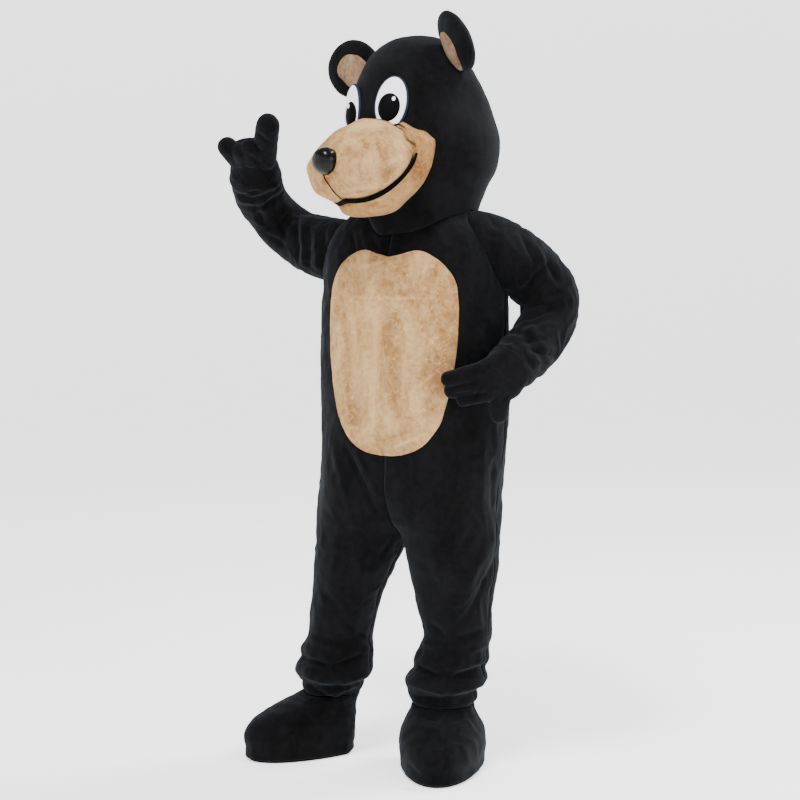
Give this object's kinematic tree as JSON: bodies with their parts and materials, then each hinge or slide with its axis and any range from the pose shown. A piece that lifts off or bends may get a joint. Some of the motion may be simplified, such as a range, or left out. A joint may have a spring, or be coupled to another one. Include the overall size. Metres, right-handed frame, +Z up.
{
  "type": "bear mascot costume",
  "caption": "Black plush bear mascot costume in a waving, hand on hip pose, with a tan muzzle and belly, full head, gloves, boot covers and a back zip.",
  "frame": {"origin": "where the wearer's shoulders carry the costume, on the wearer's upright axis, 1.44 m above the soles", "axes": "+Z up, -Y the way the suit faces, +X the wearer's left"},
  "size_m": [0.9141, 0.5449, 1.9495],
  "materials": {
    "black_plush": "short pile plush",
    "tan_plush": "short pile plush",
    "sole": "matte",
    "mouth_lining": "matte felt",
    "nose": "glossy",
    "eye_white": "smooth felt",
    "pupil": "satin",
    "zip_tape": "woven",
    "zip_metal": "satin"
  },
  "bodies": {
    "costume": {"belly_patch": "tan_plush", "body_back_left": "black_plush", "body_back_right": "black_plush", "body_front_left": "black_plush", "body_front_right": "black_plush", "boot_left": "black_plush", "boot_right": "black_plush", "ear_left": "black_plush", "ear_right": "black_plush", "eye_left": "eye_white", "eye_right": "eye_white", "glove_left": "black_plush", "glove_right": "black_plush", "head_shell": "black_plush", "inner_ear_left": "tan_plush", "inner_ear_right": "tan_plush", "jaw": "tan_plush", "mouth": "mouth_lining", "muzzle": "tan_plush", "nose": "nose", "pupil_left": "pupil", "pupil_right": "pupil", "sleeve_left": "black_plush", "sleeve_right": "black_plush", "sole_left": "sole", "sole_right": "sole", "zip_slider": "zip_metal", "zip_tape": "zip_tape"},
    "tab": {"zip_tab": "zip_metal"}
  },
  "joints": [
    {"name": "tab_swing", "type": "hinge", "parent": "costume", "child": "tab", "pos_m": [0, 0.17733, -0.065], "axis": [1, 0, 0], "range_deg": [0, 120]}
  ]
}
